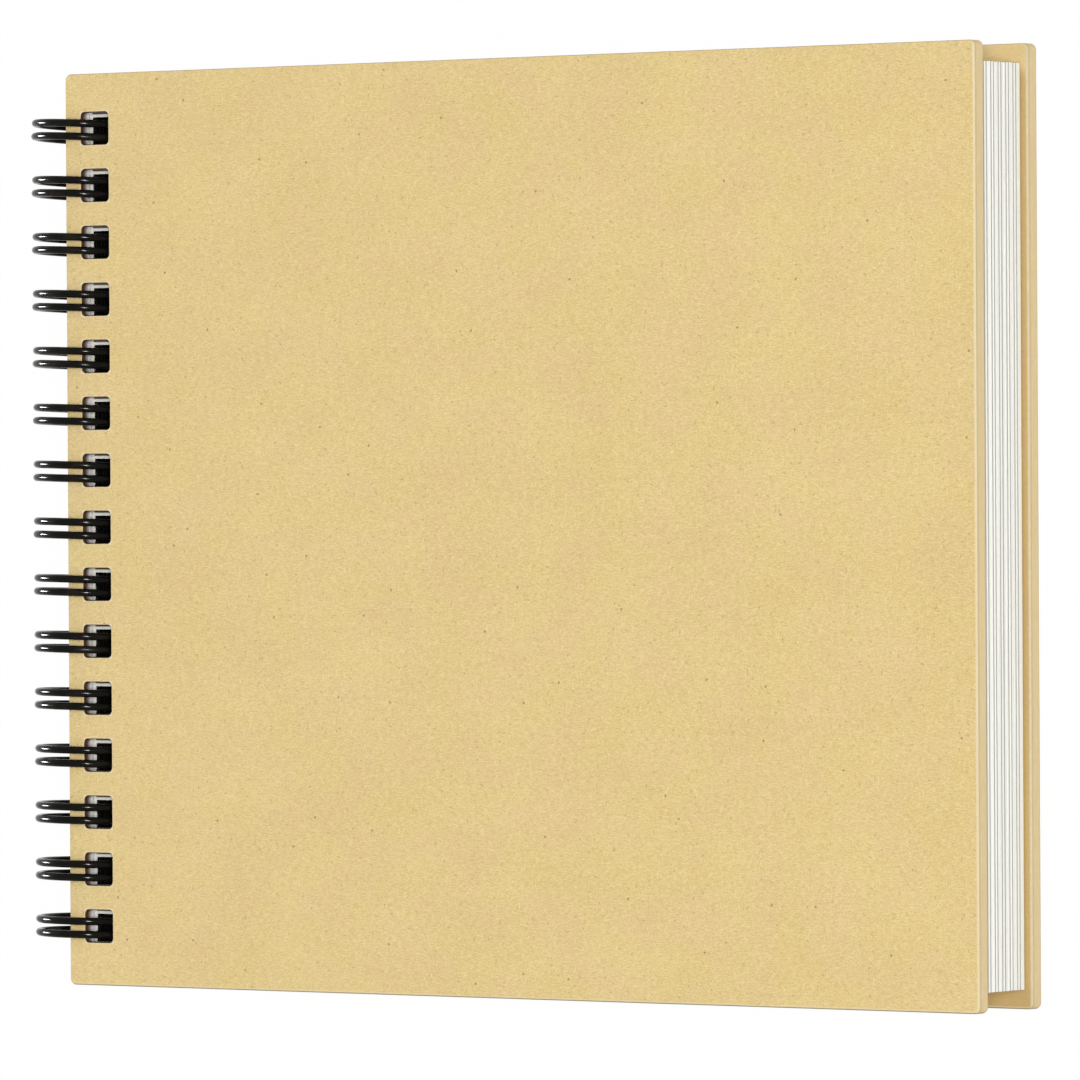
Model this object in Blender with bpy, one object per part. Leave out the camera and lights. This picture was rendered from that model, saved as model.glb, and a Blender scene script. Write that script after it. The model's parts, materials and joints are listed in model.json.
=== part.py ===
"""Twin-loop wire-bound sketchbook, modelled lying on its back with the front cover up.

+X runs from the spine to the fore edge, +Y to the head of the book and +Z out of the front cover.
The origin is under the middle of the book's bounding box, level with the lowest point of the wire.
Every leaf turns about one line, the axis of the wire ring, which runs along Y inside the spine.
"""

import math

import bpy

MM = 0.001

# Covers
COVER_WIDTH = 241.3 * MM         # spine edge to fore edge
COVER_HEIGHT = 203.2 * MM        # tail to head
COVER_THICKNESS = 3.2 * MM
COVER_CORNER = 1.4 * MM
COVER_EDGE_TO_HOLE = 4.4 * MM    # spine edge of a cover to its row of holes

# Drawing paper, in packs of sheets that turn together
PACK_COUNT = 18
PACK_THICKNESS = 0.655 * MM
PACK_GAP = 0.3 * MM
HEAD_INSET = 4.2 * MM            # paper inside the covers at head and tail
FORE_EDGE_INSET = 1.9 * MM
SPINE_INSET = 0.2 * MM
SHEET_EDGE_TO_HOLE = 4.9 * MM

# Punching, one hole for each loop of the wire
LOOP_PITCH = 12.7 * MM           # fixed by the wire, which is cut to as many loops as the cover takes
HEAD_TO_LOOP = 12.0 * MM         # least room from the head or tail of a cover to the middle of a loop
COVER_HOLE_CORNER = 0.9 * MM
COVER_HOLE_REACH = 1.0 * MM      # how much further a cover's holes reach to the head than the paper's

# Wire: each loop is two strands joined by a bend at the tip and by bars to its neighbours at the root
WIRE_DIAMETER = 1.7 * MM
STRAND_SPACING = 2.96 * MM
LEAN_AT_TAIL = 0.2 * MM          # how far the loops lean out of square, along the spine
LEAN_AT_HEAD = 0.72 * MM
LEAN_DIRECTION = math.radians(50)  # where on the ring a loop doesn't lean, from +X towards +Z
SEAM_ANGLE = math.radians(10)    # between tip and root, measured about the ring's axis
STRAND_SEGMENTS = 16

# Clearances
WIRE_CLEARANCE = 0.3 * MM        # between the wire and the ends of the holes
STRAND_CLEARANCE = 0.05 * MM     # between a loop and the sides of its hole, where it leans most
SPINE_CLEARANCE = 0.4 * MM       # ring axis to the spine edge of the covers, so that both can lie flat

CORNER_SEGMENTS = 4
HOLE_CORNER_SEGMENTS = 2
BEND_SEGMENTS = 3                # in a quarter turn of the wire

KRAFT = (0.752, 0.580, 0.266)
PAPER = (0.855, 0.847, 0.776)
BLACK = (0.010, 0.010, 0.009)

# Worked out from the sizes above
LOOP_COUNT = 1 + int((COVER_HEIGHT - 2 * HEAD_TO_LOOP) / LOOP_PITCH)
WIRE_RADIUS = WIRE_DIAMETER / 2
ROOM_TO_LEAN = max(LEAN_AT_TAIL, LEAN_AT_HEAD) + STRAND_CLEARANCE
SHEET_HOLE_HEIGHT = STRAND_SPACING + WIRE_DIAMETER + 2 * ROOM_TO_LEAN
BEND_RADIUS = STRAND_SPACING / 2
BLOCK_THICKNESS = PACK_COUNT * PACK_THICKNESS + (PACK_COUNT + 1) * PACK_GAP
BOOK_THICKNESS = BLOCK_THICKNESS + 2 * COVER_THICKNESS

COVER_HOLE_START = SPINE_CLEARANCE + COVER_EDGE_TO_HOLE
RING_CLEAR_RADIUS = math.hypot(COVER_HOLE_START + WIRE_CLEARANCE, BOOK_THICKNESS / 2)
STRAND_STEP = (2 * math.pi - SEAM_ANGLE) / STRAND_SEGMENTS
RING_RADIUS = (RING_CLEAR_RADIUS + WIRE_RADIUS) / math.cos(STRAND_STEP / 2)
RING_OUTER_RADIUS = RING_RADIUS + WIRE_RADIUS

COVER_HOLE_END = math.sqrt(RING_OUTER_RADIUS ** 2 - (BLOCK_THICKNESS / 2) ** 2) + WIRE_CLEARANCE
SHEET_SPINE_EDGE = SPINE_CLEARANCE + SPINE_INSET
SHEET_HOLE_START = SHEET_SPINE_EDGE + SHEET_EDGE_TO_HOLE
SHEET_HOLE_END = RING_OUTER_RADIUS + WIRE_CLEARANCE

COVER_FORE_EDGE = SPINE_CLEARANCE + COVER_WIDTH
AXIS_X = (RING_OUTER_RADIUS - COVER_FORE_EDGE) / 2
AXIS_Z = RING_RADIUS * math.cos(SEAM_ANGLE / 2) + WIRE_RADIUS


def clear_scene():
    """Remove every object, so that the script can be run again."""
    for obj in list(bpy.data.objects):
        bpy.data.objects.remove(obj, do_unlink=True)


def make_material(name, colour, roughness):
    """A Principled material in one colour."""
    material = bpy.data.materials.new(name)
    material.use_nodes = True
    shader = material.node_tree.nodes["Principled BSDF"]
    shader.inputs["Base Color"].default_value = (*colour, 1.0)
    shader.inputs["Roughness"].default_value = roughness
    shader.inputs["Metallic"].default_value = 0.0
    return material


def add_curve(name, dimensions, material, collection):
    """An empty curve object in the book's collection."""
    curve = bpy.data.curves.new(name, "CURVE")
    curve.dimensions = dimensions
    curve.materials.append(material)
    obj = bpy.data.objects.new(name, curve)
    collection.objects.link(obj)
    return obj


def add_poly_spline(curve, points, cyclic):
    """One straight-sided spline through the points."""
    spline = curve.splines.new("POLY")
    spline.points.add(len(points) - 1)
    for target, point in zip(spline.points, points):
        target.co = (*point, 1.0)
    spline.use_cyclic_u = cyclic


def rectangle_points(x_range, y_range, radius, segments):
    """A rectangle counter-clockwise, its corners rounded unless the radius is zero."""
    (x_low, x_high), (y_low, y_high) = x_range, y_range
    corners = [(x_high, y_high), (x_low, y_high), (x_low, y_low), (x_high, y_low)]
    if radius == 0:
        return [(x, y, 0.0) for x, y in corners]
    points = []
    for index, (x, y) in enumerate(corners):
        centre_x = x - radius if x == x_high else x + radius
        centre_y = y - radius if y == y_high else y + radius
        for step in range(segments + 1):
            angle = (index + step / segments) * math.pi / 2
            points.append((centre_x + radius * math.cos(angle), centre_y + radius * math.sin(angle), 0.0))
    return points


def loop_positions():
    """Where each loop of the wire sits along the spine, from tail to head."""
    first = -LOOP_PITCH * (LOOP_COUNT - 1) / 2
    return [first + index * LOOP_PITCH for index in range(LOOP_COUNT)]


def add_punched_plate(name, x_range, height, thickness, level, corner, hole_x_range, hole_reach,
                      hole_corner, material, collection, turning_point):
    """A flat leaf with a hole for each loop, carried by an empty on the ring's axis.

    The holes reach a little further to the head than a loop needs, by hole_reach.
    """
    plate = add_curve(name, "2D", material, collection)
    plate.data.fill_mode = "BOTH"
    plate.data.extrude = thickness / 2
    outline = rectangle_points(x_range, (-height / 2, height / 2), corner, CORNER_SEGMENTS)
    add_poly_spline(plate.data, outline, cyclic=True)
    for y in loop_positions():
        hole_y_range = (y - SHEET_HOLE_HEIGHT / 2, y + SHEET_HOLE_HEIGHT / 2 + hole_reach)
        hole = rectangle_points(hole_x_range, hole_y_range, hole_corner, HOLE_CORNER_SEGMENTS)
        add_poly_spline(plate.data, hole, cyclic=True)
    plate.parent = turning_point
    plate.location.z = level
    return plate


def add_cover(name, level, material, collection, turning_point):
    """A board with rounded corners."""
    return add_punched_plate(
        name, (SPINE_CLEARANCE, COVER_FORE_EDGE), COVER_HEIGHT, COVER_THICKNESS, level, COVER_CORNER,
        (COVER_HOLE_START, COVER_HOLE_END), COVER_HOLE_REACH, COVER_HOLE_CORNER,
        material, collection, turning_point)


def add_pack(name, level, material, collection, turning_point):
    """A pack of square-cornered sheets that turn together."""
    return add_punched_plate(
        name, (SHEET_SPINE_EDGE, COVER_FORE_EDGE - FORE_EDGE_INSET), COVER_HEIGHT - 2 * HEAD_INSET,
        PACK_THICKNESS, level, 0.0, (SHEET_HOLE_START, SHEET_HOLE_END), 0.0, 0.0,
        material, collection, turning_point)


def add_turning_point(name, parent, collection):
    """An empty on the ring's axis; turning it about Y opens the book at one leaf."""
    empty = bpy.data.objects.new(name, None)
    empty.empty_display_size = COVER_THICKNESS
    collection.objects.link(empty)
    empty.parent = parent
    return empty


def flat_wire_route():
    """The wire before it is rolled up, as points of arc length round the ring and place along it.

    Arc length starts at the root bars and grows through the back cover, the sheets and the front
    cover to the tips. The route goes up one strand of a loop, round its tip, down the other strand
    and along the bar to the next loop.
    """
    root = 0.0
    tip = RING_RADIUS * (2 * math.pi - SEAM_ANGLE)
    strand = [root + BEND_RADIUS + (tip - root - 2 * BEND_RADIUS) * step / STRAND_SEGMENTS
              for step in range(STRAND_SEGMENTS + 1)]
    quarter = [math.pi / 2 * step / BEND_SEGMENTS for step in range(1, BEND_SEGMENTS)]
    positions = loop_positions()
    route = [(root, positions[0] - BEND_RADIUS)]
    for index, centre in enumerate(positions):
        low, high = centre - BEND_RADIUS, centre + BEND_RADIUS
        route += [(arc, low) for arc in strand]
        for step in range(1, 2 * BEND_SEGMENTS):
            angle = math.pi * step / (2 * BEND_SEGMENTS)
            route.append((tip - BEND_RADIUS + BEND_RADIUS * math.sin(angle),
                          centre - BEND_RADIUS * math.cos(angle)))
        route += [(arc, high) for arc in reversed(strand)]
        if index == LOOP_COUNT - 1:
            route.append((root, high))
            continue
        following = positions[index + 1] - BEND_RADIUS
        bar = [(root + BEND_RADIUS * (1 - math.sin(angle)), BEND_RADIUS * (1 - math.cos(angle)))
               for angle in quarter]
        route += [(arc, high + shift) for arc, shift in bar]
        route += [(root, high + BEND_RADIUS), (root, following - BEND_RADIUS)]
        route += [(arc, following - shift) for arc, shift in reversed(bar)]
    return route


def rolled_up(arc, along):
    """A point of the flat route on the ring, with the loop's lean; the seam faces down."""
    angle = arc / RING_RADIUS - math.pi / 2 + SEAM_ANGLE / 2
    from_tail = along / COVER_HEIGHT + 0.5
    lean = LEAN_AT_TAIL + (LEAN_AT_HEAD - LEAN_AT_TAIL) * from_tail
    return (RING_RADIUS * math.cos(angle), along + lean * math.sin(angle - LEAN_DIRECTION),
            RING_RADIUS * math.sin(angle))


def add_wire(material, collection, turning_point):
    """The whole binding as one continuous wire."""
    wire = add_curve("wire_binding", "3D", material, collection)
    wire.data.bevel_depth = WIRE_RADIUS
    wire.data.bevel_resolution = 1
    wire.data.use_fill_caps = True
    add_poly_spline(wire.data, [rolled_up(arc, along) for arc, along in flat_wire_route()], cyclic=False)
    wire.parent = turning_point
    return wire


def main():
    clear_scene()
    book = bpy.data.collections.new("sketchbook")
    bpy.context.scene.collection.children.link(book)

    axis = add_turning_point("ring_axis", None, book)
    axis.location = (AXIS_X, 0.0, AXIS_Z)
    add_wire(make_material("black_coated_wire", BLACK, 0.28), book, axis)

    cover_level = (BOOK_THICKNESS - COVER_THICKNESS) / 2
    add_cover("back_cover", -cover_level, make_material("back_board", KRAFT, 0.85), book, axis)

    # Packs are numbered from the front, and each carries the ones in front of it.
    turning_point = axis
    for number in range(PACK_COUNT, 0, -1):
        name = f"sheets_{number:02d}"
        level = BLOCK_THICKNESS / 2 - number * PACK_GAP - (number - 0.5) * PACK_THICKNESS
        turning_point = add_turning_point(f"turn_{name}", turning_point, book)
        add_pack(name, level, make_material(f"paper_{number:02d}", PAPER, 0.9), book, turning_point)

    turning_point = add_turning_point("turn_front_cover", turning_point, book)
    add_cover("front_cover", cover_level, make_material("front_board", KRAFT, 0.85), book, turning_point)


main()
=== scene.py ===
"""Wire-bound sketchbook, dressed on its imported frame.

Two kraft boards with worn rims, a block of loose drawing paper and one black twin-loop wire. Each
class of the book is one sub-assembly: it holds its own sizes, builds its meshes and gives them a
finish. Lengths are in metres. The book lies on its back cover, spine towards -X, head towards +Y.
"""

from __future__ import annotations

import json
import logging
import math
import random
from collections.abc import Callable, Sequence
from dataclasses import dataclass, field
from enum import Enum
from typing import Any

import bmesh
import bpy
from mathutils import Euler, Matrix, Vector

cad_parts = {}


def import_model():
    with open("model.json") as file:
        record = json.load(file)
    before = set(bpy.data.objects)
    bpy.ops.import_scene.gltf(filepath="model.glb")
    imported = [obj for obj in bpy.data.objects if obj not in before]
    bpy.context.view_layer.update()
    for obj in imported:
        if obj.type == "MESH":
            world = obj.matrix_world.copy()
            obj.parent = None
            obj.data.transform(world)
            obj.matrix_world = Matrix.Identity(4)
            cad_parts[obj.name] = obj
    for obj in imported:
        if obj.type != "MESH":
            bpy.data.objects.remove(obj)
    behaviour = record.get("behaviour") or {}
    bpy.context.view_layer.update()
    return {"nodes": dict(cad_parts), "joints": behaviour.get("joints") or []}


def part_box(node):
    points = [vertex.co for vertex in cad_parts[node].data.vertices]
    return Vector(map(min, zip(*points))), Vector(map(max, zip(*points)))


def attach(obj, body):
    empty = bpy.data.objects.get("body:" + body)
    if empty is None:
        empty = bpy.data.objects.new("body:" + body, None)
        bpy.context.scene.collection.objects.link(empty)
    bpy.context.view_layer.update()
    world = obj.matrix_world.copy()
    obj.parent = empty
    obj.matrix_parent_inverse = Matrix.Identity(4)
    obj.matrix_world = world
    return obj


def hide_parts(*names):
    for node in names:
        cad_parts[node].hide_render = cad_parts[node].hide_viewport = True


LOG = logging.getLogger("sketchbook")

MM = 0.001

Triple = tuple[float, float, float]
Colour = Triple
Span = tuple[float, float]


class Slot(Enum):
    """Material slots of the record."""

    BOARD = "kraft_board"
    PAPER = "drawing_paper"
    WIRE = "black_wire"


class SheetKind(Enum):
    """What a shader sheet belongs to, with the type of its output node."""

    MATERIAL = "ShaderNodeOutputMaterial"
    WORLD = "ShaderNodeOutputWorld"


class Shine(Enum):
    """Where a lamp's light shows."""

    PLAIN = "on surfaces, never mirrored"
    IN_GLOSS = "mirrored only"


class Element(Enum):
    """What an edit-mode selection is made of."""

    VERTEX = "VERT"
    EDGE = "EDGE"


# ---------------------------------------------------------------------------------------------
# Shader sheets: node trees written as arithmetic
# ---------------------------------------------------------------------------------------------


class Signal:
    """An output socket of a shader tree that takes part in Python arithmetic."""

    def __init__(self, sheet: ShaderSheet, socket: bpy.types.NodeSocket) -> None:
        """Wrap one socket of a sheet."""
        self.sheet = sheet
        self.socket = socket

    def _math(self, operation: str, *values: Any, clamp: bool = False) -> Signal:
        """Add a Math node on the values."""
        settings = {"operation": operation, "use_clamp": clamp}
        return self.sheet.node("ShaderNodeMath", settings, dict(enumerate(values)))

    def __add__(self, other: Signal | float) -> Signal:
        """Sum."""
        return self._math("ADD", self, other)

    __radd__ = __add__

    def __mul__(self, other: Signal | float) -> Signal:
        """Product."""
        return self._math("MULTIPLY", self, other)

    __rmul__ = __mul__

    def __sub__(self, other: Signal | float) -> Signal:
        """Difference."""
        return self._math("SUBTRACT", self, other)

    def __rsub__(self, other: Signal | float) -> Signal:
        """Difference from a number."""
        return self._math("SUBTRACT", other, self)

    def lesser(self, other: Signal | float) -> Signal:
        """The smaller of two values."""
        return self._math("MINIMUM", self, other)

    def greater(self, other: Signal | float) -> Signal:
        """The larger of two values."""
        return self._math("MAXIMUM", self, other)

    def clamped(self) -> Signal:
        """The value held between 0 and 1."""
        return self._math("ADD", self, 0.0, clamp=True)

    def size(self) -> Signal:
        """The value without its sign."""
        return self._math("ABSOLUTE", self)

    def from_nearest(self, step: float) -> Signal:
        """How far the value is from the nearest multiple of a step."""
        return self._math("PINGPONG", self, step / 2)

    def ramp(self, low: float, high: float) -> Signal:
        """A smooth rise from 0 at low to 1 at high, or a fall if low is the larger."""
        settings = {"interpolation_type": "SMOOTHSTEP"}
        return self.sheet.node("ShaderNodeMapRange", settings,
                               {"Value": self, "From Min": low, "From Max": high})


class ShaderSheet:
    """The node tree of one material or world, built node by node."""

    def __init__(self, name: str, kind: SheetKind = SheetKind.MATERIAL) -> None:
        """Start a material or a world with nothing but its output."""
        store = bpy.data.worlds if kind is SheetKind.WORLD else bpy.data.materials
        self.owner = store.new(name)
        self.owner.use_nodes = True
        self.tree = self.owner.node_tree
        self.tree.nodes.clear()
        self.output = self.tree.nodes.new(kind.value)

    def node(self, kind: str, settings: dict[str, Any] | None = None,
             inputs: dict[str | int, Any] | None = None, output: str | int = 0) -> Signal:
        """Add one node.

        Args:
            kind: The node's type name.
            settings: Properties of the node, set before its sockets.
            inputs: Values or signals for its sockets, by name or number.
            output: The socket that the result reads.

        Returns:
            The chosen output as a signal.
        """
        made = self.tree.nodes.new(kind)
        for key, value in (settings or {}).items():
            setattr(made, key, value)
        for key, value in (inputs or {}).items():
            if isinstance(value, Signal):
                self.tree.links.new(value.socket, made.inputs[key])
            else:
                made.inputs[key].default_value = value
        return Signal(self, made.outputs[output])

    def place(self) -> Signal:
        """The point's place on the piece."""
        return self.node("ShaderNodeTexCoord", output="Object")

    def stretched(self, scale: Triple) -> Signal:
        """The point's place, scaled on each axis."""
        return self.node("ShaderNodeMapping", {"vector_type": "POINT"},
                         {"Vector": self.place(), "Scale": scale})

    def seen(self) -> Signal:
        """1 where the camera looks straight at it, or sees it in a gloss or through glass."""
        rays = self.node("ShaderNodeLightPath", output="Is Camera Ray")
        outputs = rays.socket.node.outputs
        gloss, glass = (Signal(self, outputs[name])
                        for name in ("Is Glossy Ray", "Is Transmission Ray"))
        return rays.greater(gloss).greater(glass)

    def axes(self) -> list[Signal]:
        """The point's X, Y and Z on the piece."""
        return self.split(self.place())

    def noise(self, scale: Triple, detail: float = 2.0, roughness: float = 0.5) -> Signal:
        """Fractal noise between 0 and 1, with the given number of waves to the metre."""
        return self.node("ShaderNodeTexNoise", {"noise_dimensions": "3D"},
                         {"Vector": self.stretched(scale), "Scale": 1.0, "Detail": detail,
                          "Roughness": roughness}, "Fac")

    def split(self, vector: Signal, kind: str = "ShaderNodeSeparateXYZ") -> list[Signal]:
        """The three parts of a vector or a colour."""
        node = self.node(kind, inputs={0: vector}).socket.node
        return [Signal(self, node.outputs[index]) for index in range(3)]

    def strokes(self, cell: float, share: float, length: float, width: float,
                curl: float = 0.0) -> Signal:
        """Short bent strokes strewn over the XY plane, each lying its own way.

        Args:
            cell: The mean distance between places for a stroke.
            share: The share of those places that hold one.
            length: The strokes' full length.
            width: The strokes' full width.
            curl: How strongly they bend, as one over a length.

        Returns:
            A mask, 1 on a stroke and 0 beside it.
        """
        place = self.place()
        seed = self.node("ShaderNodeTexVoronoi", {"voronoi_dimensions": "2D"},
                         {"Vector": place, "Scale": 1.0 / cell}, "Position")
        chance = Signal(self, seed.socket.node.outputs["Color"])
        heading, bend, keep = self.split(chance, "ShaderNodeSeparateColor")
        local = self.node("ShaderNodeVectorMath", {"operation": "SUBTRACT"}, {0: place, 1: seed})
        turned = self.node("ShaderNodeVectorRotate", {"rotation_type": "Z_AXIS"},
                           {"Vector": local, "Angle": heading * math.tau})
        along, across, _ = self.split(turned)
        offset = (across + (bend - 0.5) * curl * along * along).size()
        body = offset.ramp(width * 0.7, width * 0.25) * along.size().ramp(length / 2, length * 0.3)
        return body * keep.ramp(share, share * 0.95)

    def blend(self, mask: Signal | float, below: Any, above: Any, mode: str = "MIX") -> Signal:
        """One colour over another by a mask."""
        below = (*below, 1.0) if isinstance(below, tuple) else below
        above = (*above, 1.0) if isinstance(above, tuple) else above
        return self.node("ShaderNodeMix", {"data_type": "RGBA", "blend_type": mode},
                         {0: mask, 6: below, 7: above}, 2)

    def tinted(self, colour: Any, brightness: Signal) -> Signal:
        """A colour made lighter or darker by a factor around 1."""
        grey = self.node("ShaderNodeCombineColor", inputs={0: brightness, 1: brightness,
                                                           2: brightness})
        return self.blend(1.0, colour, grey, "MULTIPLY")

    def bump(self, height: Signal, depth: float) -> Signal:
        """A normal from a height map whose full range is depth metres deep."""
        return self.node("ShaderNodeBump", None,
                         {"Height": height, "Distance": depth, "Strength": 1.0})

    def finish(self, **sockets: Any) -> bpy.types.Material:
        """Close the sheet with a Principled shader; underscores in names stand for spaces."""
        names = {key: key.replace("_", " ").title().replace("Ior", "IOR") for key in sockets}
        values = {}
        for key, value in sockets.items():
            is_colour = isinstance(value, tuple) and len(value) == 3
            values[names[key]] = (*value, 1.0) if is_colour else value
        return self.close(self.node("ShaderNodeBsdfPrincipled", None, values))

    def close(self, shader: Signal) -> Any:
        """Tie a shader to the output and give back the finished material or world."""
        self.tree.links.new(shader.socket, self.output.inputs["Surface"])
        return self.owner


# ---------------------------------------------------------------------------------------------
# Workshop: modelling by operators
# ---------------------------------------------------------------------------------------------


class Workshop:
    """Edit-mode tools that act on one object at a time."""

    @staticmethod
    def take(obj: bpy.types.Object) -> None:
        """Make one object the only selected and the active one."""
        bpy.ops.object.select_all(action="DESELECT")
        obj.select_set(True)
        bpy.context.view_layer.objects.active = obj

    @staticmethod
    def block(name: str, x: Span, y: Span, z: Span) -> bpy.types.Object:
        """Add a block between the given limits.

        Args:
            name: The object's name.
            x: Low and high limit along X.
            y: Low and high limit along Y.
            z: Low and high limit along Z.

        Returns:
            The block, its size and place applied to its mesh.
        """
        bpy.ops.object.select_all(action="DESELECT")
        middle = tuple((low + high) / 2 for low, high in (x, y, z))
        lengths = tuple(high - low for low, high in (x, y, z))
        bpy.ops.mesh.primitive_cube_add(size=1.0, location=middle, scale=lengths)
        obj = bpy.context.object
        obj.name = name
        obj.data.name = name
        bpy.ops.object.transform_apply(location=True, rotation=True, scale=True)
        return obj

    @staticmethod
    def choose(obj: bpy.types.Object, element: Element, test: Callable[[Any], bool]) -> None:
        """Select the vertices or edges that pass a test; the object is in edit mode.

        Args:
            obj: The object being edited.
            element: What is selected.
            test: Says whether one vertex or edge is wanted.
        """
        bpy.ops.mesh.select_mode(type=element.value)
        bpy.ops.mesh.select_all(action="DESELECT")
        mesh = bmesh.from_edit_mesh(obj.data)
        for part in mesh.verts if element is Element.VERTEX else mesh.edges:
            if test(part):
                part.select_set(True)
        mesh.select_flush_mode()
        bmesh.update_edit_mesh(obj.data)

    @classmethod
    def round_corners(cls, obj: bpy.types.Object, radius: float, segments: int) -> None:
        """Round the edges that stand upright along Z."""
        cls.take(obj)
        bpy.ops.object.mode_set(mode="EDIT")
        cls.choose(obj, Element.EDGE, cls.is_upright)
        bpy.ops.mesh.bevel(offset=radius, segments=segments, affect="EDGES", clamp_overlap=True)
        bpy.ops.object.mode_set(mode="OBJECT")

    @staticmethod
    def is_upright(edge: bmesh.types.BMEdge) -> bool:
        """Whether an edge runs along Z."""
        along = edge.verts[1].co - edge.verts[0].co
        return abs(along.z) > 0.99 * along.length

    @classmethod
    def apply(cls, obj: bpy.types.Object, kind: str, **settings: Any) -> None:
        """Add a modifier, set it and apply it."""
        cls.take(obj)
        modifier = obj.modifiers.new(kind.title(), kind)
        for key, value in settings.items():
            setattr(modifier, key, value)
        bpy.ops.object.modifier_apply(modifier=modifier.name)

    @classmethod
    def copy(cls, obj: bpy.types.Object, name: str, shift: Vector) -> bpy.types.Object:
        """Copy an object with a mesh of its own, moved by a shift."""
        cls.take(obj)
        bpy.ops.object.duplicate(linked=False)
        made = bpy.context.object
        made.name = name
        made.data.name = name
        bpy.ops.transform.translate(value=shift)
        bpy.ops.object.transform_apply(location=True, rotation=False, scale=False)
        return made

    @classmethod
    def join(cls, pieces: Sequence[bpy.types.Object], name: str) -> bpy.types.Object:
        """Join several objects into the first one."""
        cls.take(pieces[0])
        for piece in pieces[1:]:
            piece.select_set(True)
        bpy.ops.object.join()
        pieces[0].name = name
        pieces[0].data.name = name
        return pieces[0]

    @staticmethod
    def dress(obj: bpy.types.Object, materials: Sequence[bpy.types.Material],
              choice: Callable[[bpy.types.MeshPolygon], int]) -> None:
        """Give each face one of the materials."""
        obj.data.materials.clear()
        for material in materials:
            obj.data.materials.append(material)
        for face in obj.data.polygons:
            face.material_index = choice(face)


def hand_over(obj: bpy.types.Object, body: str, node: str, slot: Slot) -> None:
    """Tie a finished piece to its body and hide the CAD node that it stands for."""
    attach(obj, body)
    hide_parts(node)
    LOG.info("%s: %d faces, rides on %s", obj.name, len(obj.data.polygons), body)


# ---------------------------------------------------------------------------------------------
# Layout that the leaves share
# ---------------------------------------------------------------------------------------------


@dataclass(frozen=True)
class Punching:
    """The row of holes that every leaf shares, one for each loop of the wire."""

    count: int = 15
    pitch: float = 12.7 * MM
    height: float = 6.2 * MM

    def positions(self) -> list[float]:
        """Where the holes sit along the spine, from tail to head."""
        first = -self.pitch * (self.count - 1) / 2
        return [first + index * self.pitch for index in range(self.count)]

    def punch(self, leaf: bpy.types.Object, x: Span, reach: float, corner: float) -> None:
        """Cut the row of holes through a leaf.

        Args:
            leaf: The flat piece to cut.
            x: The holes' limits along X.
            reach: How much further they reach to the head than a loop needs.
            corner: The radius of their corners, or 0 for square ones.
        """
        y = self.positions()[0]
        low, high = leaf.bound_box[0][2], leaf.bound_box[6][2]
        deep = high - low
        die = Workshop.block("die", x, (y - self.height / 2, y + self.height / 2 + reach),
                             (low - deep, high + deep))
        if corner:
            Workshop.round_corners(die, corner, 5)
        Workshop.apply(die, "ARRAY", count=self.count, use_relative_offset=False,
                       use_constant_offset=True, constant_offset_displace=(0.0, self.pitch, 0.0))
        Workshop.apply(leaf, "BOOLEAN", operation="DIFFERENCE", solver="EXACT", object=die)
        bpy.data.objects.remove(die, do_unlink=True)


@dataclass(frozen=True)
class Rims:
    """Where the rims of a leaf lie: its outline and its row of holes."""

    x: Span
    y: Span
    hole_x: Span
    hole_reach: float
    punching: Punching

    def outline_inset(self, across: Signal, along: Signal) -> Signal:
        """How far a point is inside the outline."""
        from_sides = (across - self.x[0]).lesser(self.x[1] - across)
        return from_sides.lesser((along - self.y[0]).lesser(self.y[1] - along))

    def hole_distance(self, across: Signal, along: Signal) -> Signal:
        """How far a point is outside the nearest hole."""
        middle = (self.hole_x[0] + self.hole_x[1]) / 2
        beside = (across - middle).size() - (self.hole_x[1] - self.hole_x[0]) / 2
        height = self.punching.height + self.hole_reach
        from_middle = (along - self.hole_reach / 2).from_nearest(self.punching.pitch)
        above = from_middle - height / 2
        past_row = along.size() - (self.punching.positions()[-1] + self.punching.height)
        return beside.greater(above).greater(past_row)


# ---------------------------------------------------------------------------------------------
# Finishes
# ---------------------------------------------------------------------------------------------


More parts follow.
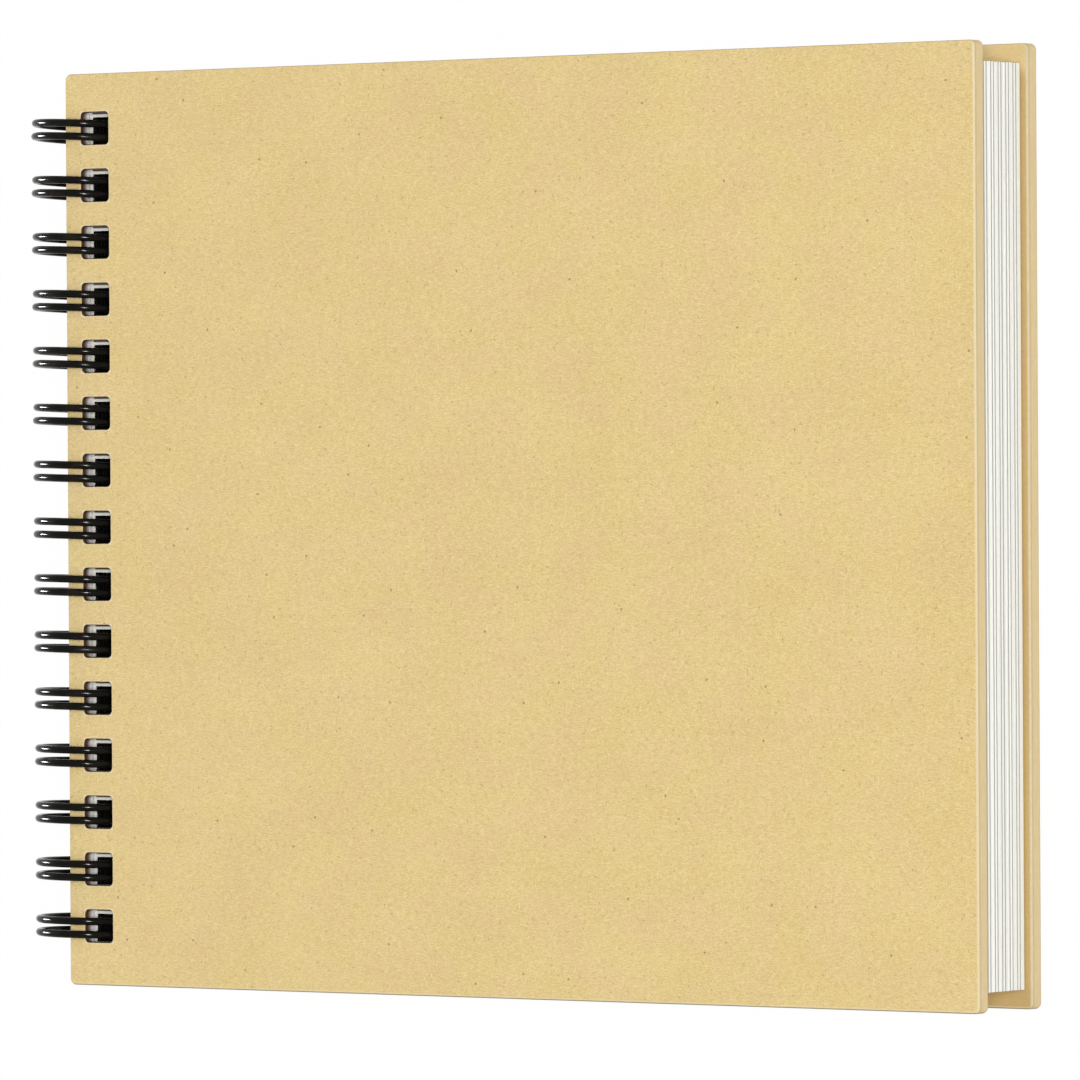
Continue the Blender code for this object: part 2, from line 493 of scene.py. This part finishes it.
@dataclass(frozen=True)
class KraftBoard:
    """Greyboard lined with kraft paper: matte and mottled, with short fibres and dark specks."""

    pale: Colour = (0.868, 0.690, 0.336)
    shade: Colour = (0.650, 0.472, 0.178)
    yellowed: Colour = (1.0, 1.0, 0.95)
    blushed: Colour = (0.995, 0.98, 1.0)
    # Painted shade on the linings inside the book, and painted light along the back lining's head:
    lining_painted_shade: Colour = (0.735, 0.675, 0.63)
    lining_painted_light_at_head: Colour = (0.98, 0.98, 1.12)
    fibre: Colour = (0.270, 0.185, 0.065)
    # Paler kraft painted as a highlight along the rims, on the outside and on the linings:
    rim: Colour = (0.845, 0.700, 0.445)
    lining_rim: Colour = (0.680, 0.590, 0.405)
    # Painted shade along the tail:
    tail_painted_shade: Colour = (0.210, 0.175, 0.110)
    side: Colour = (0.629, 0.492, 0.272)
    arris: Colour = (0.500, 0.410, 0.240)
    # Punched walls: painted shade at the outer face, and the grey core painted pale to stand in for
    # light inside:
    painted_rim_shade: Colour = (0.078, 0.036, 0.009)
    core_with_painted_light: Colour = (0.930, 0.890, 0.890)
    rim_width: float = 0.75 * MM
    tail_rim_width: float = 0.55 * MM
    tail_shade_width: float = 0.34 * MM
    head_strip: float = 5.0 * MM
    halo_width: float = 0.30 * MM
    skin: float = 0.50 * MM
    tooth_weight: float = 2.10
    grain_weight: float = 1.45
    mottle_weight: float = 0.45
    cloud_weight: float = 0.35
    smoothness: float = 0.4

    def face(self, name: str, rims: Rims, inner: bool, lit_at_head: bool) -> bpy.types.Material:
        """A face of kraft paper, with a painted highlight along its rims and round its holes and
        painted shade along its tail.

        Args:
            name: The material's name.
            rims: Where its rims lie.
            inner: Whether it is the smooth lining inside the book.
            lit_at_head: Whether a lining gets painted light along the head, where the sheets leave
                it bare.

        Returns:
            The material.
        """
        sheet = ShaderSheet(name)
        mottle = sheet.noise((480.0, 700.0, 480.0), detail=3.0, roughness=0.6)
        grain = sheet.noise((850.0, 3600.0, 850.0), detail=2.0, roughness=0.7)
        tooth = sheet.noise((2900.0, 3700.0, 2900.0), detail=2.0, roughness=0.7)
        cloud = sheet.noise((45.0, 60.0, 45.0), detail=2.0)
        tone = self.tooth_weight * (tooth - 0.5) + self.grain_weight * (grain - 0.5)
        tone = tone + self.mottle_weight * (mottle - 0.5) + self.cloud_weight * (cloud - 0.5)
        tone = 0.5 + (self.smoothness if inner else 1.0) * tone
        colour = sheet.blend(tone.clamped(), self.shade, self.pale)
        blush = sheet.noise((70.0, 90.0, 71.0), detail=2.0).ramp(0.38, 0.62)
        cast = sheet.blend(blush, self.yellowed, self.blushed)
        colour = sheet.blend(1.0, colour, cast, "MULTIPLY")
        for stroke, ink, amount in self._fibres(sheet):
            colour = sheet.blend(stroke * (0.3 * amount if inner else amount), colour, ink)
        across, along, _ = sheet.axes()
        # Painted shade: the lining is darkened as if shaded by the sheets; painted light along its
        # head where they leave it bare.
        if inner:
            at_head = (rims.y[1] - along).ramp(self.head_strip * 1.5, self.head_strip * 0.8)
            head_tint = self.lining_painted_light_at_head if lit_at_head else self.lining_painted_shade
            tint = sheet.blend(at_head, self.lining_painted_shade, head_tint)
            colour = sheet.blend(1.0, colour, tint, "MULTIPLY")
        # Painted highlight: paler kraft along the fore edge, a little of the tail and round the
        # holes.
        rim = self.lining_rim if inner else self.rim
        colour = sheet.blend(self._painted_highlight(rims, across, along, mottle), colour, rim)
        # Painted shade: a dark band along the tail.
        colour = sheet.blend(self._tail_shade(rims, along), colour, self.tail_painted_shade)
        height = 0.6 * tooth + 0.4 * mottle
        return sheet.finish(base_color=colour, roughness=0.82 + 0.12 * mottle,
                            specular_ior_level=0.25, normal=sheet.bump(height, 0.00006))

    def _painted_highlight(self, rims: Rims, across: Signal, along: Signal, mottle: Signal) -> Signal:
        """Painted highlight: paler kraft along the fore edge, a little of the tail, and round the
        holes.
        """
        fore = (rims.x[1] - across).ramp(self.rim_width * 1.15, self.rim_width * 0.7)
        tail = (along - rims.y[0]).ramp(self.tail_rim_width * 1.15, self.tail_rim_width * 0.7)
        halo = rims.hole_distance(across, along).ramp(self.halo_width * 1.4, self.halo_width * 0.6)
        wear_and_painted_light = fore.greater(0.7 * tail) * (0.5 + 0.75 * mottle)
        return wear_and_painted_light.greater(0.85 * halo).clamped()

    def _tail_shade(self, rims: Rims, along: Signal) -> Signal:
        """Painted shade: a dark band along the tail, standing in for the shaded underside of its
        rim.
        """
        return 0.9 * (along - rims.y[0]).ramp(self.tail_shade_width, self.tail_shade_width * 0.3)

    def _fibres(self, sheet: ShaderSheet) -> list[tuple[Signal, Colour, float]]:
        """Masks, inks and amounts of the fibres and specks in the pulp."""
        return [
            (sheet.strokes(2.3 * MM, 0.45, 1.1 * MM, 0.24 * MM, 500.0), self.shade, 0.60),
            (sheet.strokes(3.2 * MM, 0.45, 1.7 * MM, 0.22 * MM, 400.0), self.pale, 0.70),
            (sheet.strokes(4.3 * MM, 0.45, 0.9 * MM, 0.26 * MM, 600.0), self.fibre, 0.38),
            (sheet.strokes(8.3 * MM, 0.40, 0.60 * MM, 0.36 * MM), self.fibre, 0.42),
            (sheet.strokes(17.3 * MM, 0.40, 0.70 * MM, 0.42 * MM, 500.0), self.fibre, 0.80),
        ]

    def edge(self, name: str, rims: Rims, z: Span) -> bpy.types.Material:
        """The cut sides, where the board's plies show as faint lines and its arrises are darker."""
        sheet = ShaderSheet(name)
        plies = sheet.noise((60.0, 60.0, 2400.0), detail=2.0)
        fuzz = sheet.noise((500.0, 500.0, 900.0), detail=3.0)
        colour = sheet.tinted(self.side, 1.0 + 0.14 * (plies - 0.5) + 0.12 * (fuzz - 0.5))
        _, along, level = sheet.axes()
        depth = (level - z[0]).lesser(z[1] - level)
        colour = sheet.blend(depth.ramp(self.skin * 1.1, self.skin * 0.6), colour, self.arris)
        # Painted shade: a dark band along the tail.
        colour = sheet.blend(self._tail_shade(rims, along), colour, self.tail_painted_shade)
        height = 0.5 * plies + 0.5 * fuzz
        return sheet.finish(base_color=colour, roughness=0.9, specular_ior_level=0.2,
                            normal=sheet.bump(height, 0.0001))

    def punched(self, name: str, outer: float, outward: float) -> bpy.types.Material:
        """Punched walls: painted shade at the outer face, over a grey core painted pale for light.

        Args:
            name: The material's name.
            outer: The level of the board's outer face.
            outward: 1 where that face looks up, -1 where it looks down.

        Returns:
            The material.
        """
        sheet = ShaderSheet(name)
        fuzz = sheet.noise((800.0, 800.0, 1600.0), detail=2.0)
        _, _, level = sheet.axes()
        depth = (outer - level) * outward
        # Painted shade near the outer face, giving way with depth to the core, painted pale for the
        # light inside.
        shade_to_core = depth.ramp(self.skin * 0.4, self.skin * 5.2)
        colour = sheet.blend(shade_to_core * shade_to_core, self.painted_rim_shade, self.core_with_painted_light)
        return sheet.finish(base_color=sheet.tinted(colour, 0.85 + 0.3 * fuzz),
                            roughness=0.85, specular_ior_level=0.2,
                            normal=sheet.bump(fuzz, 0.00005))


@dataclass(frozen=True)
class DrawingPaper:
    """Off-white drawing paper with a light tooth."""

    white: Colour = (0.855, 0.847, 0.776)
    cut: Colour = (0.850, 0.845, 0.785)
    # Painted shade for the gaps between sheets along the outline:
    gap_painted_shade: Colour = (0.540, 0.535, 0.510)
    # Painted black shade for the holes and round them:
    painted_hole_shade: Colour = (0.0045, 0.0040, 0.0040)
    # Painted shadow of the cover's rim on the sheets under it:
    painted_rim_shade: Colour = (0.078, 0.036, 0.009)
    gap_shade_width: float = 0.9 * MM
    hole_shade_width: float = 0.40 * MM
    rim_shadow_width: float = 0.50 * MM

    def surface(self, name: str, rims: Rims, window: Rims | None) -> bpy.types.Material:
        """Both faces of a sheet, with painted shade along the outline for the gaps between sheets.

        Args:
            name: The material's name.
            rims: Where the sheet's outline and holes lie.
            window: Where the cover's holes lie, for the sheets right under it, which get a painted
            shadow of its rim on the head side; None for the rest, with painted black shade round
            their holes.

        Returns:
            The material.
        """
        sheet = ShaderSheet(name)
        tooth = sheet.noise((1800.0, 1800.0, 1800.0), detail=3.0, roughness=0.6)
        cloud = sheet.noise((60.0, 60.0, 60.0), detail=2.0)
        colour = sheet.tinted(self.white, 1.0 + 0.03 * (cloud - 0.5) + 0.03 * (tooth - 0.5))
        across, along, _ = sheet.axes()
        # Painted shade along the outline, standing in for the shade in the gaps between sheets.
        gap_painted_shade = rims.outline_inset(across, along).ramp(self.gap_shade_width, 0.2 * MM)
        colour = sheet.blend(gap_painted_shade, colour, self.gap_painted_shade)
        if window is None:
            # Painted shade: a black ring round each hole, standing in for the shade inside the
            # stack.
            from_hole = rims.hole_distance(across, along)
            wear_and_painted_light = from_hole.ramp(self.hole_shade_width, 0.8 * self.hole_shade_width)
            colour = sheet.blend(wear_and_painted_light, colour, self.painted_hole_shade)
        else:
            # Painted shadow: the cover's rim darkens the ledge on the head side of its holes.
            past = window.hole_distance(across, along)
            painted_rim_shade = past.ramp(-self.rim_shadow_width, -0.5 * self.rim_shadow_width)
            hidden = past.ramp(0.5 * self.rim_shadow_width, 0.3 * self.rim_shadow_width)
            off_spine = (across - rims.hole_x[0]).ramp(-0.4 * MM, 0.0)
            colour = sheet.blend(0.95 * (painted_rim_shade * hidden * off_spine), colour, self.painted_rim_shade)
        return sheet.finish(base_color=colour, roughness=0.9, specular_ior_level=0.2,
                            normal=sheet.bump(tooth, 0.00005))

    def edge(self, name: str) -> bpy.types.Material:
        """The guillotined edges, streaked along the cut."""
        sheet = ShaderSheet(name)
        streak = sheet.noise((12.0, 12.0, 3600.0), detail=2.0)
        fuzz = sheet.noise((300.0, 300.0, 2200.0), detail=2.0)
        light = 1.0 + 0.08 * (streak - 0.5) + 0.03 * (fuzz - 0.5)
        return sheet.finish(base_color=sheet.tinted(self.cut, light), roughness=0.88,
                            specular_ior_level=0.2, normal=sheet.bump(fuzz, 0.00003))

    def punched(self, name: str) -> bpy.types.Material:
        """The rims of the punched holes, painted black to stand in for the shade inside the stack.
        """
        sheet = ShaderSheet(name)
        fuzz = sheet.noise((900.0, 900.0, 900.0), detail=1.0)
        return sheet.finish(base_color=sheet.tinted(self.painted_hole_shade, 0.8 + 0.4 * fuzz),
                            roughness=0.9, specular_ior_level=0.05)


@dataclass(frozen=True)
class CoatedWire:
    """Steel wire in a smooth black coating."""

    # Near-black with a warm cast, partly the coating's own and partly a painted reflection of the
    # kraft beside it.
    black: Colour = (0.0045, 0.0036, 0.0022)
    wear_and_painted_light: Colour = (0.0130, 0.0095, 0.0060)
    roughness: float = 0.11
    gloss: float = 1.16

    def coating(self, name: str) -> bpy.types.Material:
        """The coating, with a faint orange-peel and a little handling wear."""
        sheet = ShaderSheet(name)
        peel = sheet.noise((900.0, 900.0, 900.0), detail=1.0)
        wear = sheet.noise((140.0, 140.0, 140.0), detail=3.0)
        wear_and_painted_light = wear.ramp(0.52, 0.72)
        return sheet.finish(base_color=sheet.blend(wear_and_painted_light, self.black, self.wear_and_painted_light),
                            roughness=self.roughness + 0.10 * wear_and_painted_light + 0.05 * peel,
                            ior=self.gloss, normal=sheet.bump(peel, 0.00001))


# ---------------------------------------------------------------------------------------------
# The book
# ---------------------------------------------------------------------------------------------


@dataclass
class Cover:
    """One kraft board of the binding."""

    name: str
    node: str
    body: str
    outward: float
    axis: Vector
    punching: Punching
    kraft: KraftBoard = field(default_factory=KraftBoard)
    corner: float = 1.4 * MM
    rim: float = 0.28 * MM
    hole_x: Span = (4.8 * MM, 12.42 * MM)
    hole_reach: float = 1.0 * MM
    hole_corner: float = 0.9 * MM

    def build(self) -> bpy.types.Object:
        """Model the board, its holes and its softened rims."""
        low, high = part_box(self.node)
        board = Workshop.block(self.name, (low.x, high.x), (low.y, high.y), (low.z, high.z))
        Workshop.round_corners(board, self.corner, 10)
        holes = tuple(self.axis.x + x for x in self.hole_x)
        self.punching.punch(board, holes, self.hole_reach, self.hole_corner)
        Workshop.apply(board, "BEVEL", width=self.rim, segments=3, limit_method="ANGLE",
                       angle_limit=math.radians(50), profile=0.5)
        self._dress(board, low, high, holes)
        hand_over(board, self.body, self.node, Slot.BOARD)
        return board

    def _dress(self, board: bpy.types.Object, low: Vector, high: Vector, holes: Span) -> None:
        """Give the faces, the cut sides and the punched walls their own finish."""
        margin = self.corner + self.rim
        rims = Rims((low.x, high.x), (low.y, high.y), holes, self.hole_reach, self.punching)
        faces_up = self.outward < 0.0
        materials = [self.kraft.face(f"{self.name}_outside", rims, inner=False, lit_at_head=False),
                     self.kraft.face(f"{self.name}_inside", rims, inner=True, lit_at_head=faces_up),
                     self.kraft.edge(f"{self.name}_side", rims, (low.z, high.z)),
                     self.kraft.punched(f"{self.name}_punched",
                                        high.z if self.outward > 0.0 else low.z, self.outward)]

        def choice(face: bpy.types.MeshPolygon) -> int:
            """The face's material: 0 outside, 1 inside, 2 cut side, 3 punched wall."""
            if abs(face.normal.z) > 0.75:
                return 0 if face.normal.z * self.outward > 0.0 else 1
            place = face.center
            in_row = low.x + margin < place.x < holes[1] + margin
            return 3 if in_row and abs(place.y) < high.y - margin else 2

        Workshop.dress(board, materials, choice)


@dataclass
class PaperBlock:
    """All the loose sheets, three to each pack that turns as one."""

    axis: Vector
    punching: Punching
    packs: Sequence[str]
    paper: DrawingPaper = field(default_factory=DrawingPaper)
    sheets_in_pack: int = 3
    sheet: float = 0.215 * MM
    sheet_gap: float = 0.006 * MM
    pack_gap: float = 0.03 * MM
    hole_x: Span = (5.5 * MM, 15.24 * MM)
    window_x: Span = (4.8 * MM, 12.42 * MM)
    window_reach: float = 1.0 * MM
    jog: float = 0.06 * MM
    seed: int = 11

    def __post_init__(self) -> None:
        """Take a sheet's outline from the first pack."""
        self.low, self.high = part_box(self.packs[0])

    def build(self) -> list[bpy.types.Object]:
        """Model one sheet, then lay copies of it in each pack.

        Returns:
            One piece for each pack, from the front of the book.
        """
        dice = random.Random(self.seed)
        pattern = self._pattern()
        made = []
        for number, node in enumerate(self.packs):
            sheets = []
            for index, level in enumerate(self._levels(number, node)):
                sheet = Workshop.copy(pattern, f"{node}_sheet_{index}", Vector((0.0, 0.0, level)))
                self._jog_outline(sheet, Vector((-dice.uniform(0.0, self.jog),
                                                 dice.uniform(-self.jog, self.jog), 0.0)))
                sheets.append(sheet)
            pack = Workshop.join(sheets, f"paper_{number + 1:02d}")
            self._dress(pack, first=number == 0)
            hand_over(pack, node, node, Slot.PAPER)
            made.append(pack)
        bpy.data.objects.remove(pattern, do_unlink=True)
        return made

    def _pattern(self) -> bpy.types.Object:
        """One punched sheet, level with the origin."""
        flat = Workshop.block("sheet", (self.low.x, self.high.x), (self.low.y, self.high.y),
                              (-self.sheet / 2, self.sheet / 2))
        self.punching.punch(flat, self._rims(self.hole_x, 0.0).hole_x, 0.0, 0.0)
        return flat

    def _rims(self, hole_x: Span, reach: float) -> Rims:
        """Where a sheet's outline and a row of holes lie."""
        holes = (self.axis.x + hole_x[0], self.axis.x + hole_x[1])
        outline = (self.low.x, self.high.x), (self.low.y, self.high.y)
        return Rims(*outline, holes, reach, self.punching)

    def _on_outline(self, place: Vector) -> bool:
        """Whether a point is on a sheet's outline and not on a hole."""
        near = 2 * self.jog
        at_side = place.x < self.low.x + near or place.x > self.high.x - near
        return at_side or abs(place.y) > self.high.y - near

    def _jog_outline(self, sheet: bpy.types.Object, shift: Vector) -> None:
        """Move a sheet's outline a little, its holes staying in line with the stack's."""
        Workshop.take(sheet)
        bpy.ops.object.mode_set(mode="EDIT")
        Workshop.choose(sheet, Element.VERTEX, lambda vertex: self._on_outline(vertex.co))
        bpy.ops.transform.translate(value=shift)
        bpy.ops.object.mode_set(mode="OBJECT")

    def _levels(self, number: int, node: str) -> list[float]:
        """Heights of a pack's sheets.

        Packs go in threes: the first lies on its own with air on both sides, and the other two
        lean on one another, so that the block's edge shows narrow and broad bands.
        """
        low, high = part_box(node)
        middle = (low.z + high.z) / 2
        place = number % 3
        step = self.sheet + self.sheet_gap
        if place:
            other_low, other_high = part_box(self.packs[number + 1 if place == 1 else number - 1])
            between = (middle + (other_low.z + other_high.z) / 2) / 2
            reach = (self.sheets_in_pack * step + self.pack_gap) / 2
            middle = between + (reach if place == 1 else -reach)
        offsets = [index - (self.sheets_in_pack - 1) / 2 for index in range(self.sheets_in_pack)]
        return [middle + offset * step for offset in offsets]

    def _dress(self, pack: bpy.types.Object, first: bool) -> None:
        """Give the faces, the cut edges and the punched rims their own finish."""
        name = pack.name
        rims = self._rims(self.hole_x, 0.0)
        window = self._rims(self.window_x, self.window_reach) if first else None
        materials = [self.paper.surface(f"{name}_face", rims, window),
                     self.paper.edge(f"{name}_cut"), self.paper.punched(f"{name}_punched")]

        def choice(face: bpy.types.MeshPolygon) -> int:
            """The face's material: 0 flat, 1 cut edge, 2 punched rim."""
            if abs(face.normal.z) > 0.5:
                return 0
            return 1 if self._on_outline(face.center) else 2

        Workshop.dress(pack, materials, choice)


@dataclass
class TwinLoopWire:
    """One continuous wire: double loops joined at their roots by bars along the spine."""

    axis: Vector
    punching: Punching
    node: str = "wire_binding"
    body: str = "back"
    wire: CoatedWire = field(default_factory=CoatedWire)
    radius: float = 0.85 * MM
    spacing: float = 2.96 * MM
    seam: float = math.radians(10)
    lean_at_tail: float = 0.2 * MM
    lean_at_head: float = 0.72 * MM
    lean_direction: float = math.radians(50)
    inside_box: float = 0.12 * MM
    sides: int = 16
    strand_steps: int = 72
    bend_steps: int = 8

    def __post_init__(self) -> None:
        """Take the ring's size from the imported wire."""
        low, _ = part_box(self.node)
        self.ring = self.axis.x - low.x - self.radius - self.inside_box
        self.bend = self.spacing / 2
        self.bend_angle = self.bend / self.ring

    def build(self) -> bpy.types.Object:
        """Model one loop and one bar, repeat them along the spine and join them."""
        positions = self.punching.positions()
        loop = self._loop()
        bar = self._bar()
        parts = [Workshop.copy(loop, f"loop_{index}", Vector((0.0, y, 0.0)))
                 for index, y in enumerate(positions)]
        parts += [Workshop.copy(bar, f"bar_{index}", Vector((0.0, y, 0.0)))
                  for index, y in enumerate(positions[:-1])]
        for pattern in (loop, bar):
            bpy.data.objects.remove(pattern, do_unlink=True)
        wire = Workshop.join(parts, "twin_loop_wire")
        self._close(wire)
        self._lean_loops(wire, positions)
        wire.data.materials.clear()
        wire.data.materials.append(self.wire.coating("black_coating"))
        hand_over(wire, self.body, self.node, Slot.WIRE)
        return wire

    def _root(self) -> float:
        """Angle of the root bars about the ring's axis, from +X towards +Z."""
        return self.seam / 2 - math.pi / 2

    def _outward(self, angle: float) -> Vector:
        """Unit vector from the ring's axis at an angle."""
        return Vector((math.cos(angle), 0.0, math.sin(angle)))

    def _start(self, name: str, angle: float, y: float) -> bpy.types.Object:
        """A round section of the wire at an angle of the ring, facing along the strand."""
        bpy.ops.object.select_all(action="DESELECT")
        place = self.axis + self._outward(angle) * self.ring
        place.y = y
        bpy.ops.mesh.primitive_circle_add(vertices=self.sides, radius=self.radius,
                                          location=place, rotation=(0.0, -angle, 0.0))
        obj = bpy.context.object
        obj.name = name
        bpy.ops.object.transform_apply(location=True, rotation=True, scale=True)
        bpy.ops.object.mode_set(mode="EDIT")
        bpy.ops.mesh.select_mode(type="EDGE")
        bpy.ops.mesh.select_all(action="SELECT")
        return obj

    def _loop(self) -> bpy.types.Object:
        """Both strands of one loop and the bend at its tip, open at the roots."""
        start = self._root() + self.bend_angle
        sweep = 2 * math.pi - self.seam - 2 * self.bend_angle
        tip = start + sweep
        ring_axis = Vector((0.0, 1.0, 0.0))
        obj = self._start("loop", start, -self.bend)
        bpy.ops.mesh.spin(steps=self.strand_steps, angle=sweep, axis=ring_axis,
                          center=self.axis + Vector((0.0, -self.bend, 0.0)))
        bend_centre = self.axis + self._outward(tip) * self.ring
        bpy.ops.mesh.spin(steps=2 * self.bend_steps, angle=math.pi, center=bend_centre,
                          axis=self._outward(tip))
        bpy.ops.mesh.spin(steps=self.strand_steps, angle=-sweep, axis=ring_axis,
                          center=self.axis + Vector((0.0, self.bend, 0.0)))
        bpy.ops.object.mode_set(mode="OBJECT")
        return obj

    def _bar(self) -> bpy.types.Object:
        """The bar from one loop's upper strand to the next loop's lower one."""
        start = self._root() + self.bend_angle
        outward = self._outward(start)
        obj = self._start("bar", start, self.bend)
        centre = self.axis + outward * self.ring
        centre.y = 2 * self.bend
        bpy.ops.mesh.spin(steps=self.bend_steps, angle=-math.pi / 2, center=centre, axis=outward)
        straight = self.punching.pitch - 2 * self.spacing
        bpy.ops.mesh.extrude_region_move(
            TRANSFORM_OT_translate={"value": (0.0, straight, 0.0)})
        centre.y += straight
        bpy.ops.mesh.spin(steps=self.bend_steps, angle=-math.pi / 2, center=centre, axis=outward)
        bpy.ops.object.mode_set(mode="OBJECT")
        return obj

    def _close(self, wire: bpy.types.Object) -> None:
        """Merge the joined sections, cap the two cut ends and smooth the wire."""
        Workshop.take(wire)
        bpy.ops.object.mode_set(mode="EDIT")
        bpy.ops.mesh.select_all(action="SELECT")
        bpy.ops.mesh.remove_doubles(threshold=self.radius / 20)
        bpy.ops.mesh.select_mode(type="EDGE")
        bpy.ops.mesh.select_all(action="DESELECT")
        bpy.ops.mesh.select_non_manifold(extend=False)
        bpy.ops.mesh.edge_face_add()
        bpy.ops.mesh.select_all(action="SELECT")
        bpy.ops.mesh.normals_make_consistent(inside=False)
        bpy.ops.object.mode_set(mode="OBJECT")
        bpy.ops.object.shade_smooth_by_angle(angle=math.radians(40))

    def _lean_loops(self, wire: bpy.types.Object, positions: Sequence[float]) -> None:
        """Lean the loops a little out of square, the more the nearer they are to the head."""
        Workshop.take(wire)
        bpy.ops.object.mode_set(mode="EDIT")
        for index, y in enumerate(positions):
            share = index / (len(positions) - 1)
            lean = self.lean_at_tail + (self.lean_at_head - self.lean_at_tail) * share
            low, high = y - self.punching.pitch / 2, y + self.punching.pitch / 2
            Workshop.choose(wire, Element.VERTEX, lambda vertex: low <= vertex.co.y < high)
            turns = {"X": lean * math.cos(self.lean_direction),
                     "Z": lean * math.sin(self.lean_direction)}
            for line, shift in turns.items():
                bpy.ops.transform.rotate(value=math.asin(shift / self.ring), orient_axis=line,
                                         orient_type="GLOBAL",
                                         center_override=(self.axis.x, y, self.axis.z))
        bpy.ops.object.mode_set(mode="OBJECT")


# ---------------------------------------------------------------------------------------------
# The studio
# ---------------------------------------------------------------------------------------------


@dataclass(frozen=True)
class Softbox:
    """An area lamp aimed at the book."""

    name: str
    place: Triple
    width: float
    height: float
    power: float
    shine: Shine = Shine.PLAIN

    def build(self, target: Vector) -> bpy.types.Object:
        """Add the lamp."""
        lamp = bpy.data.lights.new(self.name, "AREA")
        lamp.shape = "RECTANGLE"
        lamp.size = self.width
        lamp.size_y = self.height
        lamp.energy = self.power
        obj = bpy.data.objects.new(self.name, lamp)
        bpy.context.scene.collection.objects.link(obj)
        obj.location = self.place
        obj.rotation_euler = (target - obj.location).to_track_quat("-Z", "Y").to_euler()
        obj.visible_diffuse = self.shine is not Shine.IN_GLOSS
        obj.visible_glossy = self.shine is not Shine.PLAIN
        return obj


@dataclass
class Studio:
    """Plain pale floor, soft lamps and the camera, whose lens and sensor are in millimetres."""

    cover_centre: Vector
    lens: float = 311.9
    sensor: float = 36.0
    view_limit: float = 50.0
    distance: float = 2.0147
    aim: Vector = field(default_factory=lambda: Vector((8.74 * MM, -2.53 * MM, 0.0)))
    swing: Euler = field(default_factory=lambda: Euler(
        (math.radians(-0.523), math.radians(35.413), math.radians(-0.396))))
    ambient: float = 0.42
    floor_size: float = 12.0
    floor_drop: float = 0.2 * MM
    floor_glow: float = 0.985
    white: Colour = (1.0, 1.0, 1.0)
    floor_paint: Colour = (0.95, 0.95, 0.95)
    softboxes: tuple[Softbox, ...] = (
        Softbox("key_softbox", (3.0, 0.05, 4.20), 1.8, 1.8, 170.0),
        Softbox("fore_edge_softbox", (1.5, -0.25, 0.62), 0.8, 0.8, 2.4),
        Softbox("spine_card", (-1.10, 0.05, 0.24), 0.16, 0.34, 26.0, Shine.IN_GLOSS),
        Softbox("hole_card", (0.20, 0.02, 1.20), 0.50, 0.12, 26.0, Shine.IN_GLOSS),
    )

    def build(self) -> None:
        """Set up everything round the book."""
        scene = bpy.context.scene
        scene.view_settings.view_transform = "Standard"
        self._camera(scene)
        self._world(scene)
        self._floor()
        for softbox in self.softboxes:
            softbox.build(self.cover_centre)

    def _camera(self, scene: bpy.types.Scene) -> None:
        """A long lens off to the fore-edge side, close to square on to the cover."""
        data = bpy.data.cameras.new("camera")
        data.lens = self.lens
        data.sensor_width = self.sensor
        data.clip_end = self.view_limit
        camera = bpy.data.objects.new("camera", data)
        scene.collection.objects.link(camera)
        camera.rotation_euler = self.swing
        back = self.swing.to_matrix() @ Vector((0.0, 0.0, self.distance))
        camera.location = self.cover_centre + self.aim + back
        scene.camera = camera

    def _world(self, scene: bpy.types.Scene) -> None:
        """Even light from all round, white where it is seen or mirrored."""
        sheet = ShaderSheet("studio", SheetKind.WORLD)
        strength = self.ambient + (1.0 - self.ambient) * sheet.seen()
        light = sheet.node("ShaderNodeBackground", None,
                           {"Color": (*self.white, 1.0), "Strength": strength})
        scene.world = sheet.close(light)

    def _floor(self) -> None:
        """A wide white floor that shows only a trace of the book's shadow."""
        bpy.ops.object.select_all(action="DESELECT")
        bpy.ops.mesh.primitive_plane_add(size=self.floor_size,
                                         location=(0.0, 0.0, -self.floor_drop))
        floor = bpy.context.object
        floor.name = "floor"
        sheet = ShaderSheet("floor_white")
        paint = sheet.node("ShaderNodeBsdfDiffuse", None, {"Color": (*self.floor_paint, 1.0)})
        glow = sheet.node("ShaderNodeEmission", None,
                          {"Color": (*self.white, 1.0), "Strength": 1.0})
        mixed = sheet.node("ShaderNodeMixShader", None,
                           {0: self.floor_glow * sheet.seen(), 1: paint, 2: glow})
        floor.data.materials.append(sheet.close(mixed))


def main() -> None:
    """Build the book on its frame, piece by piece."""
    logging.basicConfig(level=logging.INFO, format="%(name)s: %(message)s")
    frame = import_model()
    axis = Vector(frame["joints"][0]["pos_m"])
    front_low, front_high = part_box("front_cover")
    centre = Vector(((front_low.x + front_high.x) / 2, 0.0, front_high.z))
    Studio(centre).build()

    punching = Punching()
    Cover("back_board", "back_cover", "back", -1.0, axis, punching).build()
    Cover("front_board", "front_cover", "front", 1.0, axis, punching).build()
    packs = sorted(name for name in frame["nodes"] if name.startswith("sheets_"))
    PaperBlock(axis, punching, packs).build()
    TwinLoopWire(axis, punching).build()


if __name__ == "__main__":
    main()
